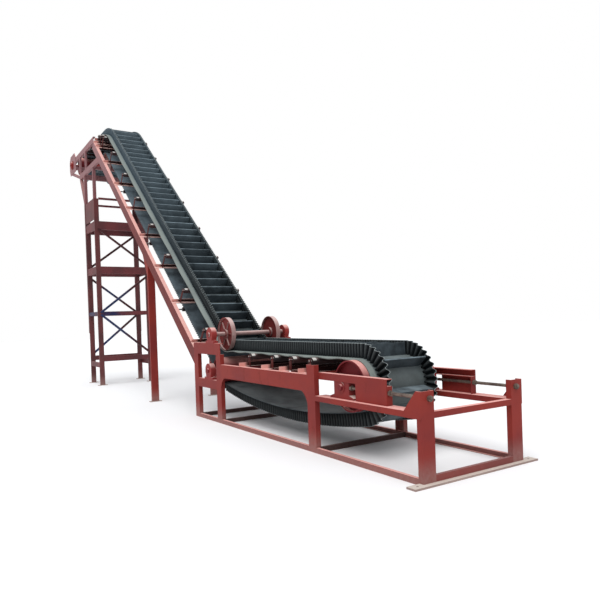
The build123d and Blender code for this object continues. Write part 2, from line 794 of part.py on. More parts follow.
# Rings of channels between the tower legs, as many as fit under the upper legs: top, depth
ring_tops = [ring_first + i * ring_pitch for i in range(1 + int((lower_leg_top - ring_first) / ring_pitch))]
rings = [(top, ring_depths[min(i, len(ring_depths) - 1)]) for i, top in enumerate(ring_tops)]
with BuildPart() as tower_cross_rings:
    ring_half = side_y - tower_depth
    for station in (tower_tail_station, tower_head_station):
        for top, depth in rings + [(splice_top, top_ring_depth)]:
            height = top - depth / 2
            channel_bar(at(station, -ring_half, height), at(station, ring_half, height),
                        (-1, 0, 0), (depth, ring_flange, ring_wall))
save(tower_cross_rings, "tower_cross_rings")

with BuildPart() as tower_side_rings:
    for i, (top, depth) in enumerate(rings):
        height = top - depth / 2 - (side_ring_lowered if i == 0 else 0)
        channel_bar(at(tower_inside, -side_y, height), at(tower_head_station, -side_y, height),
                    (0, 1, 0), (depth, ring_flange, ring_wall))
    mirror(about=Plane.XZ)
save(tower_side_rings, "tower_side_rings")

# Diagonal braces from each ring to the next, on the tail face and, the other way, on the head face
with BuildPart() as tower_brace_angles:
    brace_y = side_y - tower_depth / 2
    for i, (foot_height, _) in enumerate(rings[:-1]):
        brace_top = rings[i + 1][0] - rings[i + 1][1]
        side = 1 if i % 2 == 0 else -1
        angle_bar(at(tower_tail_station, side * brace_y, foot_height),
                  at(tower_tail_station, -side * brace_y, brace_top), (1, 0, 0), brace_section)
        angle_bar(at(tower_head_station + tower_flange, -side * brace_y, foot_height),
                  at(tower_head_station + tower_flange, side * brace_y, brace_top),
                  (-1, 0, 0), brace_section)
save(tower_brace_angles, "tower_brace_angles")

# Foot plates with two bolt holes each: leg station, flange, middle across
with BuildPart() as foot_plates:
    for station, flange, middle in ((leg_station, leg_flange, leg_middle),
                                    (tower_tail_station, tower_flange, tower_middle),
                                    (tower_head_station, tower_flange, tower_middle)):
        centre_station = station + flange / 2
        block(at(centre_station - foot_width / 2, middle - foot_length / 2, 0),
              at(centre_station + foot_width / 2, middle + foot_length / 2, foot_thick))
        for across in (middle - foot_bolt_pitch / 2, middle + foot_bolt_pitch / 2):
            bar_along(at(centre_station, across, 0), at(centre_station, across, foot_thick),
                      bolt_radius, Mode.SUBTRACT)
    mirror(about=Plane.XZ)
save(foot_plates, "foot_plates")

# Head frame: chords, web outwards, the lower one cut to the stringer's underside
with BuildPart() as head_top_chords:
    chord_start = on_incline((top_chord_bottom - level_height + stringer_offset * cos(incline_angle))
                             / sin(incline_angle), -stringer_offset)[0]
    height = top_chord_bottom + chord_section[0] / 2
    channel_bar(at(chord_start, -side_y, height), at(top_chord_end, -side_y, height),
                (0, 1, 0), chord_section)
    mirror(about=Plane.XZ)
save(head_top_chords, "head_top_chords")

with BuildPart() as head_bottom_chords:
    chord_low_start = incline_start + (chord_bottom - level_height
                                       - stringer_bottom_offset / cos(incline_angle)) / slope
    height = chord_bottom + chord_section[0] / 2
    channel_bar(at(chord_low_start, -side_y, height), at(bottom_chord_end, -side_y, height),
                (0, 1, 0), chord_section)
    split(bisect_by=underside, keep=Keep.BOTTOM)
    mirror(about=Plane.XZ)
save(head_bottom_chords, "head_bottom_chords")

# Posts between the chords and the diagonal up to the end plate
with BuildPart() as head_web_members:
    channel_bar(at(bottom_chord_end - web_section[0], -side_y, chord_bottom + web_section[1]),
                at(head_centre[0] + diagonal_ahead, -side_y, head_centre[1] - diagonal_drop),
                (0, 1, 0), web_section)
    split(bisect_by=Plane(origin=at(bottom_chord_end, 0, 0), z_dir=(-1, 0, 0)), keep=Keep.TOP)
    for run in head_post_runs:
        station = crest_start + run
        channel_bar(at(station, -side_y, bottom_chord_top), at(station, -side_y, top_chord_bottom),
                    (0, 1, 0), web_section)
    mirror(about=Plane.XZ)
save(head_web_members, "head_web_members")

# End plates outside the chords, with a hole for the drum's shaft
with BuildPart() as head_end_plates:
    corner = end_plate_corner
    end_plate_start = head_centre[0] - end_plate_behind
    end_plate_end = head_centre[0] + end_plate_ahead
    end_plate_bottom = head_centre[1] - end_plate_below
    end_plate_top = head_centre[1] + end_plate_above
    side_sheet(-side_y - end_plate_thick, end_plate_thick,
               [(end_plate_start, end_plate_bottom), (end_plate_end - corner / 2, end_plate_bottom),
                (end_plate_end, end_plate_bottom + corner), (end_plate_end, end_plate_top - corner),
                (end_plate_end - corner, end_plate_top), (end_plate_start + corner, end_plate_top),
                (end_plate_start, end_plate_top - corner)])
    round_across(-side_y - end_plate_thick, end_plate_thick, head_centre, shaft_radius + plate, Mode.SUBTRACT)
    mirror(about=Plane.XZ)
save(head_end_plates, "head_end_plates")

# Members across the head frame
with BuildPart() as head_cross_members:
    chord_inside = side_y - chord_section[1]
    height = chord_bottom + chord_section[0] / 2
    for run in bottom_member_runs:
        station = crest_start + run
        channel_bar(at(station, -chord_inside, height), at(station, chord_inside, height),
                    (-1, 0, 0), chord_section)
    end_member_height = head_centre[1] - end_member_drop
    channel_bar(at(end_plate_start, -side_y, end_member_height),
                at(end_plate_start, side_y, end_member_height),
                (-1, 0, 0), end_member_section)
save(head_cross_members, "head_cross_members")

# Struts from the head-side legs to the ends of the lower chords
with BuildPart() as head_struts:
    strut_leg = leg_angle_section[0]
    strut_foot = tower_head_station
    angle_bar(at(strut_foot, -side_y, chord_bottom - strut_drop - strut_leg),
              at(bottom_chord_end, -side_y, bottom_chord_top), (0, 1, 0), leg_angle_section)
    split(bisect_by=Plane(origin=at(tower_head_station + strut_leg, 0, 0), z_dir=(-1, 0, 0)), keep=Keep.TOP)
    split(bisect_by=Plane(origin=(0, 0, chord_bottom)), keep=Keep.BOTTOM)
    mirror(about=Plane.XZ)
save(head_struts, "head_struts")

# Flange bearings of the head drum, outside the end plates
with BuildPart() as head_bearings:
    bearing_face = side_y + end_plate_thick
    with BuildSketch(side_plane(-bearing_face - flange_plate)) as flange_outline:
        with Locations(head_centre):
            RectangleRounded(flange_square, flange_square, flange_square / 6)
    extrude(flange_outline.sketch, amount=flange_plate)
    round_across(-bearing_face - flange_depth, flange_depth, head_centre, flange_radius)
    round_across(-bearing_face - flange_depth, flange_depth, head_centre, shaft_radius + bore_gap,
                 Mode.SUBTRACT)
    mirror(about=Plane.XZ)
save(head_bearings, "head_bearings")

# Flange bearings of the press wheels, inside the lower chords
with BuildPart() as press_wheel_bearings:
    half = flange_square / 2
    side_sheet(-chord_inside, flange_plate, [(press_centre[0] - half, chord_bottom),
                                             (press_centre[0] + half, chord_bottom),
                                             (press_centre[0] + half, bottom_chord_top),
                                             (press_centre[0] - half, bottom_chord_top)])
    round_across(-chord_inside, flange_plate + flange_depth, press_centre, flange_radius)
    round_across(-chord_inside, flange_plate + flange_depth, press_centre, shaft_radius + bore_gap,
                 Mode.SUBTRACT)
    mirror(about=Plane.XZ)
save(press_wheel_bearings, "press_wheel_bearings")

# Belt: the flat band and the sidewalls as plain ribbons, each as its runs and its bends
with BuildPart() as belt_band_runs:
    belt_runs(-belt_width / 2, belt_width, 0, belt_thick)
save(belt_band_runs, "belt_band_runs")

with BuildPart() as belt_band_bends:
    belt_bends(-belt_width / 2, belt_width, 0, belt_thick)
save(belt_band_bends, "belt_band_bends")

sidewall_start = belt_edge - belt_width / 2
with BuildPart() as belt_sidewall_runs:
    belt_runs(sidewall_start, sidewall_width, belt_thick, sidewall_reach)
    mirror(about=Plane.XZ)
save(belt_sidewall_runs, "belt_sidewall_runs")

with BuildPart() as belt_sidewall_bends:
    belt_bends(sidewall_start, sidewall_width, belt_thick, sidewall_reach)
    mirror(about=Plane.XZ)
save(belt_sidewall_bends, "belt_sidewall_bends")

# A cleat starts inside the band, which is then cut out of it, so its foot fits every bend
with BuildPart() as belt_cleats:
    cleat_half = belt_width / 2 - belt_edge - sidewall_width - cleat_end_gap
    cleat_count = round(belt_back.length / cleat_pitch)
    with BuildSketch(side_plane(-cleat_half)) as cleats:
        for i in range(cleat_count):
            foot = belt_back.position_at(i / cleat_count)
            along = belt_back.tangent_at(i / cleat_count)
            outward = Vector(-along.Y, along.X)
            root = foot + outward * (belt_thick / 2)
            tip = foot + outward * (belt_thick + cleat_height)
            corners = [root - along * (cleat_root / 2), root + along * (cleat_root / 2),
                       tip + along * (cleat_tip / 2), tip - along * (cleat_tip / 2)]
            Polygon(*[(corner.X, corner.Y) for corner in corners], align=None)
    extrude(cleats.sketch, amount=2 * cleat_half)
    add(belt_band_runs.part, mode=Mode.SUBTRACT)
    add(belt_band_bends.part, mode=Mode.SUBTRACT)
save(belt_cleats, "belt_cleats")

# Drums and wheels that turn
with BuildPart() as tail_drum:
    drum(tail_centre, tail_drum_radius, guide_outer + shaft_stub, guide_outer + shaft_stub)
save(tail_drum, "tail_drum")

with BuildPart() as bend_drum:
    drum(bend_centre, bend_drum_radius, side_y + shaft_stub, side_y + shaft_stub)
save(bend_drum, "bend_drum")

with BuildPart() as head_drum:
    bearing_end = bearing_face + flange_depth
    drum(head_centre, head_drum_radius, bearing_end + shaft_stub, bearing_end)
    round_across(bearing_end, drive_length, head_centre, drive_radius)
save(head_drum, "head_drum")

with BuildPart() as hold_down_wheels:
    wheel_pair(hold_down_centre, side_y + shaft_stub)
save(hold_down_wheels, "hold_down_wheels")

with BuildPart() as press_wheels:
    wheel_pair(press_centre, chord_inside + shaft_stub)
save(press_wheels, "press_wheels")
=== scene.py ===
# %% [markdown]
# # An incline belt conveyor in red-oxide steel and dusty rubber
# The solids come in packed and fixed: rails, posts, drums, wheels and the plain belt. This notebook gives
# each of them its finish, swaps the plain belt for one with corrugated sidewalls and edges that sag between
# the idlers, adds the small fasteners, and lights the whole.

# %% Load the imported model
import math
import bpy
import numpy as np
from mathutils import Matrix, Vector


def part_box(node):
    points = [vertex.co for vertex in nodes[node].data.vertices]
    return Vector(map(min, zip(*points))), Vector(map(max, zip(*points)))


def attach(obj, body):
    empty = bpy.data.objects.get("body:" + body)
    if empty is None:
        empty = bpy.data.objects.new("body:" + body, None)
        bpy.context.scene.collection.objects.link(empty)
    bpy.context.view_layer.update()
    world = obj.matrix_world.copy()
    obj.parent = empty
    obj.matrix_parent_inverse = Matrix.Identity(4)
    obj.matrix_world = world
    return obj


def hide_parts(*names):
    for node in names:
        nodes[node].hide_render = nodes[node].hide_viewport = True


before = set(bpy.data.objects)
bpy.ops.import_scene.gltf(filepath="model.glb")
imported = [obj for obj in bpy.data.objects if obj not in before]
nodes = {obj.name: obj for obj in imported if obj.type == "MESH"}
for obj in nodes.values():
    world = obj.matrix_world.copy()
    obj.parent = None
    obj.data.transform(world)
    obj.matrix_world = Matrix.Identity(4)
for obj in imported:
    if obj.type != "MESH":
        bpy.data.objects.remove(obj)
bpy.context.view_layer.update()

# %% [markdown]
# ## Shader maths that reads like maths
# A finish is a sum of masks: dust on what faces up, rust where noise is high, wear in blotches. Wiring that
# by hand hides the idea, so a small class wraps a socket and turns +, -, * into Math nodes.


# %% A wrapped socket
class Wave:
    """A number that varies over a surface: a socket, with arithmetic that adds Math nodes."""

    def __init__(self, box, socket):
        self.box = box
        self.socket = socket

    def math(self, operation, other=0.0, clamp=False):
        """operation of this and other; clamp keeps the result between 0 and 1."""
        values = {0: self, 1: other}
        return self.box.add("ShaderNodeMath", {"operation": operation, "use_clamp": clamp}, values)

    def __add__(self, other):
        return self.math("ADD", other)

    def __radd__(self, other):
        return self.math("ADD", other)

    def __rsub__(self, other):
        return self.box.add("ShaderNodeMath", {"operation": "SUBTRACT"}, {0: other, 1: self})

    def __mul__(self, other):
        return self.math("MULTIPLY", other)

    def __rmul__(self, other):
        return self.math("MULTIPLY", other)

    def size(self):
        """The value without its sign."""
        return self.math("ABSOLUTE")

    def clamp(self):
        """The value kept between 0 and 1."""
        return self.math("ADD", 0.0, clamp=True)

    def step(self, low, high):
        """0 below low, 1 above high and a smooth ramp between."""
        ends = {"Value": self, "From Min": low, "From Max": high}
        return self.box.add("ShaderNodeMapRange", {"interpolation_type": "SMOOTHSTEP"}, ends)


# %% [markdown]
# ## A paint box
# Each material starts from the same two things: where a point is on the piece and which way its surface
# looks. Both are read in the piece's own space, so dust and rust stay where they are when a drum turns.


# %% The nodes of one material
class PaintBox:
    """The node tree of one material."""

    def __init__(self, name):
        self.material = bpy.data.materials.new(name)
        self.material.use_nodes = True
        self.tree = self.material.node_tree
        self.shader = next(n for n in self.tree.nodes if n.type == "BSDF_PRINCIPLED")
        coordinates = self.tree.nodes.new("ShaderNodeTexCoord")
        self.place = Wave(self, coordinates.outputs["Object"])
        self.normal = Wave(self, coordinates.outputs["Normal"])

    def put(self, socket, value):
        """Link a wave to a socket, or set a plain number or colour on it."""
        if isinstance(value, Wave):
            self.tree.links.new(value.socket, socket)
        elif hasattr(socket.default_value, "__len__") and len(socket.default_value) == 4 and len(value) == 3:
            socket.default_value = (*value, 1.0)
        else:
            socket.default_value = value

    def add(self, kind, settings, sockets, output=0):
        """A node of a kind: its settings first, then the values or links of its sockets."""
        node = self.tree.nodes.new(kind)
        for key, value in settings.items():
            setattr(node, key, value)
        for key, value in sockets.items():
            self.put(node.inputs[key], value)
        return Wave(self, node.outputs[output])

    def noise(self, scale, detail=4.0, roughness=0.55, stretch=(1, 1, 1)):
        """Cloudy noise between 0 and 1 at a scale in lumps per metre, stretched along the axes."""
        moved = self.add("ShaderNodeMapping", {}, {"Vector": self.place, "Scale": stretch})
        sockets = {"Vector": moved, "Scale": scale, "Detail": detail, "Roughness": roughness}
        return self.add("ShaderNodeTexNoise", {}, sockets)

    def axis(self, wave, name):
        """One component, X, Y or Z, of a vector."""
        return self.add("ShaderNodeSeparateXYZ", {}, {"Vector": wave}, output="XYZ".index(name))

    def carried(self, name):
        """A number that the mesh carries at each point under a name."""
        return self.add("ShaderNodeAttribute", {"attribute_name": name}, {}, output=2)

    def blend(self, mask, first, second):
        """A colour that is first where the mask is 0 and second where it is 1."""
        node = self.tree.nodes.new("ShaderNodeMix")
        node.data_type = "RGBA"
        for key, value in ((0, mask), (6, first), (7, second)):
            self.put(node.inputs[key], value)
        return Wave(self, node.outputs[2])

    def bump(self, height, distance, strength=0.5):
        """A normal tilted by a height map; distance is the height in metres."""
        return self.add("ShaderNodeBump", {}, {"Height": height, "Distance": distance, "Strength": strength})

    def finish(self, **inputs):
        """Set the shader's own sockets by name, with spaces written as underscores."""
        for key, value in inputs.items():
            self.put(self.shader.inputs[key.replace("_", " ")], value)
        print("material", self.material.name, "nodes", len(self.tree.nodes))
        return self.material


def srgb(red, green, blue):
    """A colour as the eye counts it, 0 to 255, turned into the linear numbers that a shader needs."""
    parts = [channel / 255 for channel in (red, green, blue)]
    return tuple(p / 12.92 if p <= 0.04045 else ((p + 0.055) / 1.055) ** 2.4 for p in parts)


# %% [markdown]
# ## Red-oxide paint that has stood outside
# The steelwork was brushed with red-oxide primer. Its sides are a dull red, faded in patches; whatever
# faces the sky carries pale pink dust; rust runs and chips break it up; splashed dirt greys it just above
# the floor, and on the incline and the head the sun has bleached it more the higher it stands. All of it
# follows from the way a face looks, from its height and from noise in metres, so one recipe with other
# colours serves the frame, the tower, the drums, the wheels and the rollers.


# %% The paint recipe
sun_pink = srgb(178, 146, 150)
floor_dirt = srgb(150, 122, 116)
bleach_low, bleach_high = 3.2, 6.6
splash_top = 0.3


def old_paint(name, fresh, faded, dust, rust, dust_amount=0.9, rust_amount=0.3, bleach=0.0, splashed=0.8,
              extra=None):
    """Paint = fresh mixed with faded by slow noise, then layers over it, each by its own mask.

    The layers are the sun's bleach by height, what extra gives as a mask and a colour, rust by streaks and
    fine noise, splashed dirt just above the floor, and dust by how far a face looks up.
    """
    box = PaintBox(name)
    slow = box.noise(1.7, detail=5)
    fine = box.noise(24, detail=6, roughness=0.7)
    streak = box.noise(9, detail=5, stretch=(1, 1, 0.25))
    height = box.axis(box.place, "Z")
    colour = box.blend(slow.step(0.35, 0.68), fresh, faded)
    if bleach:
        colour = box.blend(height.step(bleach_low, bleach_high) * bleach, colour, sun_pink)
    if extra is not None:
        mask, other = extra(box)
        colour = box.blend(mask, colour, other)
    rust_mask = ((streak * 0.55 + fine * 0.45).step(0.56, 0.66) * rust_amount).clamp()
    colour = box.blend(rust_mask, colour, rust)
    splash = ((1 - height.step(0.0, splash_top)) * (0.2 + fine) * splashed).clamp()
    colour = box.blend(splash, colour, floor_dirt)
    up = box.axis(box.normal, "Z")
    dust_mask = (up.step(0.25, 0.9) * (0.55 + fine * 0.75)).clamp() * dust_amount
    colour = box.blend(dust_mask, colour, dust)
    roughness = 0.5 + 0.25 * dust_mask + 0.2 * rust_mask
    relief = box.bump(fine * 0.6 + streak * 0.4, 0.0012, 0.35)
    return box.finish(Base_Color=colour, Roughness=roughness, Normal=relief, Specular_IOR_Level=0.1)


# %% The frame, its base strip and the drums
frame_paint = old_paint("red_oxide_frame", srgb(136, 50, 43), srgb(122, 46, 44), srgb(236, 176, 168),
                        srgb(80, 36, 32))
upper_paint = old_paint("bleached_frame", srgb(112, 46, 43), srgb(102, 46, 46), srgb(246, 190, 180),
                        srgb(74, 40, 36), bleach=0.42)
strip_paint = old_paint("dusty_strip", srgb(178, 164, 154), srgb(148, 134, 126), srgb(206, 196, 186),
                        srgb(120, 84, 74), rust_amount=0.5)
drum_paint = old_paint("drum_red", srgb(124, 42, 46), srgb(104, 36, 40), srgb(228, 168, 160),
                       srgb(80, 34, 30), rust_amount=0.2)

# %% [markdown]
# ## Rollers with painted highlights on their ends, wheels with worn treads, and housings painted on one side
# Each idler is a worn tube with a painted highlight on the upper side of its ends. The wheels are dark red
# discs whose treads are rubbed pale by the belt. The take-up's housings are light castings whose outer sides
# alone the painter's brush reached. Painted shade darkens the cross angles under the belt and the floor
# members below it. Each is one mask, on a place or on the way that a face looks.


# %% Roller ends, wheel treads and housings
def painted_highlight_ends(box):
    """1 on the upper side of the last 55 mm at each end of a roller, 0 elsewhere: a painted highlight where
    light falls on the ends.
    """
    end_starts, end_full = 0.474, 0.478
    across = box.axis(box.place, "Y").size()
    upper = box.axis(box.normal, "Z").step(0.1, 0.6)
    # Painted highlight: near-white on the upper side of each roller end
    return across.step(end_starts, end_full) * upper, srgb(226, 226, 220)


def worn_tread(box):
    """1 on the tread, where a face looks away from the axle, and 0 on the discs; noise leaves some red."""
    sideways = box.axis(box.normal, "Y").size()
    rubbed = (0.4 + box.noise(16, detail=5)).clamp()
    return (1 - sideways.step(0.3, 0.7)) * rubbed, srgb(160, 132, 128)


def bare_casting(box):
    """1 on the sides that look to the middle plane, where place times normal across is below 0."""
    inward = box.axis(box.place, "Y") * box.axis(box.normal, "Y")
    return 1 - inward.step(-0.35, -0.2), srgb(196, 196, 182)


def painted_shade_inside(box):
    """Painted shade: 1 under the belt, which shades the cross angles there, 0 where a cross angle sticks out
    beyond it; noise makes the limit ragged.
    """
    belt_ends, red_starts = 0.6, 0.68
    across = box.axis(box.place, "Y").size() + box.noise(9, detail=4) * 0.08
    # Painted shade: dark red-brown where the belt covers the cross angles
    return 1 - across.step(belt_ends, red_starts), srgb(46, 26, 26)


def painted_shade_below_belt(box):
    """1 on the floor members below the belt, darkened by painted shade, 0 on the one at the tail."""
    belt_ends, red_starts = 6.4, 6.6
    # Painted shade: near-black red-brown on the floor members that the belt shades
    return 1 - box.axis(box.place, "X").step(belt_ends, red_starts), srgb(40, 24, 24)


roller_paint = old_paint("worn_rollers", srgb(46, 40, 42), srgb(70, 48, 48), srgb(150, 132, 128),
                         srgb(60, 40, 36), dust_amount=0.5, rust_amount=0.4, extra=painted_highlight_ends)
wheel_paint = old_paint("wheel_red", srgb(124, 44, 42), srgb(98, 41, 40), srgb(206, 180, 175),
                        srgb(70, 32, 30), dust_amount=0.95, rust_amount=0.3, extra=worn_tread)
angle_paint = old_paint("cross_angle_red", srgb(222, 164, 154), srgb(202, 134, 126), srgb(246, 204, 194),
                        srgb(82, 42, 38), extra=painted_shade_inside)
# Painted shade: the idler uprights get a darker copy of the frame's red oxide
shaded_upright_paint = old_paint("upright_red", srgb(84, 38, 36), srgb(66, 34, 34), srgb(150, 110, 106),
                          srgb(50, 30, 28), dust_amount=0.5)
member_paint = old_paint("floor_member_red", srgb(132, 56, 52), srgb(118, 52, 50), srgb(150, 120, 116),
                         srgb(80, 44, 40), dust_amount=0.5, splashed=0.25, extra=painted_shade_below_belt)
bearing_paint = old_paint("cast_housings", srgb(146, 54, 50), srgb(128, 50, 50), srgb(232, 182, 174),
                          srgb(84, 46, 40), rust_amount=0.3)
slide_paint = old_paint("slide_housings", srgb(134, 50, 46), srgb(118, 46, 46), srgb(214, 190, 180),
                        srgb(84, 46, 40), rust_amount=0.3, extra=bare_casting)

# %% [markdown]
# ## The tower's darker, patched paint
# The tower is older steel: a browner red, and one ring and parts of the braces still wear blue paint. The
# blue is a mask of place, a box in height and across, with a noisy edge so that it looks brushed.


# %% Tower paint with blue leftovers
def blue_ring(box):
    """1 on the near part of the ring at the second level, where noise has left the paint, and 0 elsewhere."""
    height = box.axis(box.place, "Z")
    across = box.axis(box.place, "Y")
    ragged = box.noise(6, detail=3) * 0.25
    from_bottom = height.step(1.80, 1.81)
    to_top = 1 - height.step(1.93, 1.94)
    near = 1 - (across + ragged).step(-0.05, 0.2)
    return (from_bottom * to_top * near).clamp() * box.noise(4, detail=4).step(0.3, 0.6), srgb(44, 48, 80)


def blue_braces(box):
    """0.9 on the near and middle part of the braces between two ragged heights, 0 elsewhere."""
    height = box.axis(box.place, "Z")
    across = box.axis(box.place, "Y")
    ragged = box.noise(5, detail=3) * 0.5
    from_bottom = (height + ragged).step(0.9, 1.1)
    to_top = 1 - (height + ragged).step(2.7, 2.9)
    near = 1 - (across + ragged).step(0.15, 0.5)
    return (from_bottom * to_top * near * 0.9).clamp(), srgb(50, 66, 104)


tower_paint = old_paint("old_tower_red", srgb(106, 60, 60), srgb(84, 54, 55), srgb(150, 114, 112),
                        srgb(58, 36, 34), dust_amount=0.6, rust_amount=0.5)
ring_paint = old_paint("tower_ring_red", srgb(110, 58, 60), srgb(88, 54, 56), srgb(158, 122, 118),
                       srgb(58, 36, 34), dust_amount=0.6, rust_amount=0.5, extra=blue_ring)
brace_paint = old_paint("tower_brace_red", srgb(88, 50, 52), srgb(70, 46, 48), srgb(148, 116, 114),
                        srgb(58, 36, 34), dust_amount=0.5, rust_amount=0.5, extra=blue_braces)

# %% [markdown]
# ## Bare steel and rubber
# The take-up screws are dull turned steel with a film of oil and dust. The belt is black rubber that dust
# has turned blue-grey wherever it lies flat, more so high up. The free edges of the loaded side, rubbed by
# the wheels, are the palest. The mesh carries two numbers for this: edge, highest on those free edges, and
# rim, a painted highlight, highest on the top of a sidewall and low on the crest of each fold.


# %% Steel and rubber recipes
low_dust = srgb(112, 112, 108)


def dull_steel(name, bright, dark):
    """Steel = bright mixed with dark by noise."""
    box = PaintBox(name)
    cloud = box.noise(14, detail=5)
    mask = cloud.step(0.4, 0.65)
    colour = box.blend(mask, bright, dark)
    return box.finish(Base_Color=colour, Metallic=0.6 - 0.4 * mask, Roughness=0.38 + 0.25 * mask,
                      Normal=box.bump(cloud, 0.0006, 0.3))


def dusty_rubber(name, black, grey, dust_amount, high_amount, carried=None, pale=None):
    """Rubber = black mixed with grey dust by noise, upward faces and height, and pale where the mesh says:
    worn on the band's edges, a painted highlight on the sidewalls' rims.

    The upward faces that hang low over the floor get a dust of their own, which is not blue.
    """
    box = PaintBox(name)
    slow = box.noise(3.2, detail=6, roughness=0.65)
    fine = box.noise(60, detail=4)
    up = box.axis(box.normal, "Z").step(-0.1, 1.0)
    height = box.axis(box.place, "Z")
    high = height.step(1.3, 5.8)
    low = 1 - height.step(0.45, 0.95)
    dust = (0.25 + 0.75 * up) * slow.step(0.25, 0.75) * dust_amount
    mask = (dust + high * high_amount + fine * 0.08).clamp()
    colour = box.blend(mask, black, grey)
    colour = box.blend(low * up * slow.step(0.2, 0.8) * 0.8, colour, low_dust)
    if carried:
        # On the band this is wear on the free edges; on the sidewalls it is a painted highlight on the rims
        wear_and_highlight = (box.carried(carried) * (0.55 + slow * 0.9)).clamp()
        colour = box.blend(wear_and_highlight, colour, pale)
    return box.finish(Base_Color=colour, Roughness=0.5 + 0.3 * mask, Normal=box.bump(fine, 0.0008, 0.4),
                      Specular_IOR_Level=0.1)


screw_steel = dull_steel("screw_steel", srgb(118, 104, 94), srgb(76, 62, 56))
band_rubber = dusty_rubber("band_rubber", srgb(46, 49, 51), srgb(106, 120, 128), 0.8, 0.7, "edge",
                           srgb(130, 138, 134))
cleat_rubber = dusty_rubber("cleat_rubber", srgb(20, 23, 26), srgb(136, 152, 160), 0.9, 0.4)
# The sidewalls' pale colour is a painted highlight, laid on where the mesh's rim is high
wall_rubber = dusty_rubber("corrugated_rubber", srgb(9, 10, 11), srgb(84, 100, 110), 0.05, 0.7, "rim",
                           srgb(156, 164, 164))

# %% [markdown]
# ## Who wears what
# Every solid keeps its shape and only gets a finish. A table from finish to names keeps this in one place,
# and the cell prints what was forgotten.

# %% Give every solid its finish
finishes = {
    frame_paint: ["sills", "tail_posts", "side_posts", "take_up_rails", "tail_cross_member",
                  "take_up_frames", "loading_rails", "upper_beams", "lower_beams", "intermediate_legs",
                  "corner_gussets"],
    upper_paint: ["stringers", "head_top_chords", "head_bottom_chords", "head_web_members", "head_end_plates",
                  "head_cross_members", "head_struts", "tower_upper_legs"],
    angle_paint: ["idler_cross_angles"],
    shaded_upright_paint: ["idler_uprights"],
    member_paint: ["sill_cross_members"],
    roller_paint: ["carrying_idlers", "return_rollers"],
    strip_paint: ["tail_base_strip", "foot_plates"],
    drum_paint: ["tail_drum", "bend_drum", "head_drum"],
    wheel_paint: ["hold_down_wheels", "press_wheels"],
    bearing_paint: ["hold_down_bearings", "bend_drum_bearings", "head_bearings", "press_wheel_bearings"],
    slide_paint: ["take_up_bearings"],
    tower_paint: ["tower_legs", "tower_splices", "tower_side_plates"],
    ring_paint: ["tower_cross_rings", "tower_side_rings"],
    brace_paint: ["tower_brace_angles"],
    screw_steel: ["take_up_screws"],
    band_rubber: ["belt_band_runs", "belt_band_bends"],
    cleat_rubber: ["belt_cleats"],
    wall_rubber: ["belt_sidewall_runs", "belt_sidewall_bends"],
}
for material, names in finishes.items():
    for name in names:
        nodes[name].data.materials.clear()
        nodes[name].data.materials.append(material)
bare = sorted(set(nodes) - {name for names in finishes.values() for name in names})
print("solids with no finish:", bare)

# %% [markdown]
# ## The path of the belt
# The belt is an endless band round drums and past wheels: arcs joined by the straight runs that touch them.
# Each circle below has a centre, the radius of the belt's back and a side, 1 where the belt wraps it from
# outside and -1 where a wheel presses on the carrying face. The slack run below hangs in an arc of one more
# circle, which the tail drum and the bend drum touch from inside. From the arc lengths, any distance round
# the loop gives a point and the outward normal, for whole arrays at once.


# %% Circles that the belt goes round
def axis_of(node):
    """Station from the tail face and height of a turning piece's axis: the middle of its box."""
    low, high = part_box(node)
    return tail_x - (low.x + high.x) / 2, (low.z + high.z) / 2


strip_nose = 0.06
tail_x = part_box("tail_base_strip")[1].x - strip_nose
incline = math.radians(39.5)
half_tangent = math.tan(incline / 2)
belt_thick = 0.012
sidewall_height = 0.1695
tail_radius = 0.29
bend_radius = 0.2
head_radius = 0.25
crest_radius = 1.2
press_radius = 0.2775
slack_radius = 9.7
tail_centre = axis_of("tail_drum")
bend_centre = axis_of("bend_drum")
head_centre = axis_of("head_drum")
hold_centre = axis_of("hold_down_wheels")
press_centre = axis_of("press_wheels")
level = tail_centre[1] + tail_radius
head_level = head_centre[1] + head_radius
incline_start = hold_centre[0] + press_radius * half_tangent
crest_start = incline_start + (head_level - level) / math.tan(incline)
to_tail, to_bend = slack_radius - tail_radius, slack_radius - bend_radius
span = math.dist(tail_centre, bend_centre)
lean = math.atan2(bend_centre[1] - tail_centre[1], bend_centre[0] - tail_centre[0])
lean += math.acos((to_tail ** 2 + span ** 2 - to_bend ** 2) / (2 * to_tail * span))
slack_centre = (tail_centre[0] + to_tail * math.cos(lean), tail_centre[1] + to_tail * math.sin(lean))
crest_centre = (crest_start + crest_radius * half_tangent, head_level - crest_radius)
circles = [
    (tail_centre, tail_radius, 1),
    (hold_centre, press_radius, -1),
    (crest_centre, crest_radius, 1),
    (head_centre, head_radius, 1),
    (press_centre, press_radius, -1),
    (bend_centre, bend_radius, 1),
    (slack_centre, slack_radius, 1),
]
print("tail face at", round(tail_x, 4), "slack run's centre", slack_centre)


# %% Points along the loop
def run_normal(first, second):
    """Angle of the outward normal on the run that touches two circles.

    It is the direction from centre to centre, plus the angle whose cosine is the difference of the two signed
    radii over the distance between the centres.
    """
    (centre0, radius0, side0), (centre1, radius1, side1) = first, second
    shift = side0 * radius0 - side1 * radius1
    away = math.dist(centre0, centre1)
    toward = math.atan2(centre1[1] - centre0[1], centre1[0] - centre0[0])
    return toward + math.acos(max(-1, min(1, shift / away)))


shortest_stretch = 1e-9
normals = [run_normal(circles[i], circles[(i + 1) % len(circles)]) for i in range(len(circles))]
stretches = []
for i, (centre, radius, side) in enumerate(circles):
    start = normals[i - 1]
    turn = (side * (start - normals[i])) % (2 * math.pi)
    stretches.append(("arc", centre, side * radius, start, -side * turn, turn * radius))
    following = circles[(i + 1) % len(circles)]
    out = (math.cos(normals[i]), math.sin(normals[i]))
    leave = [centre[k] + side * radius * out[k] for k in (0, 1)]
    reach = [following[0][k] + following[2] * following[1] * out[k] for k in (0, 1)]
    stretches.append(("run", leave, reach, normals[i], 0.0, math.dist(leave, reach)))
ends = np.cumsum([stretch[5] for stretch in stretches])
loop_length = ends[-1]


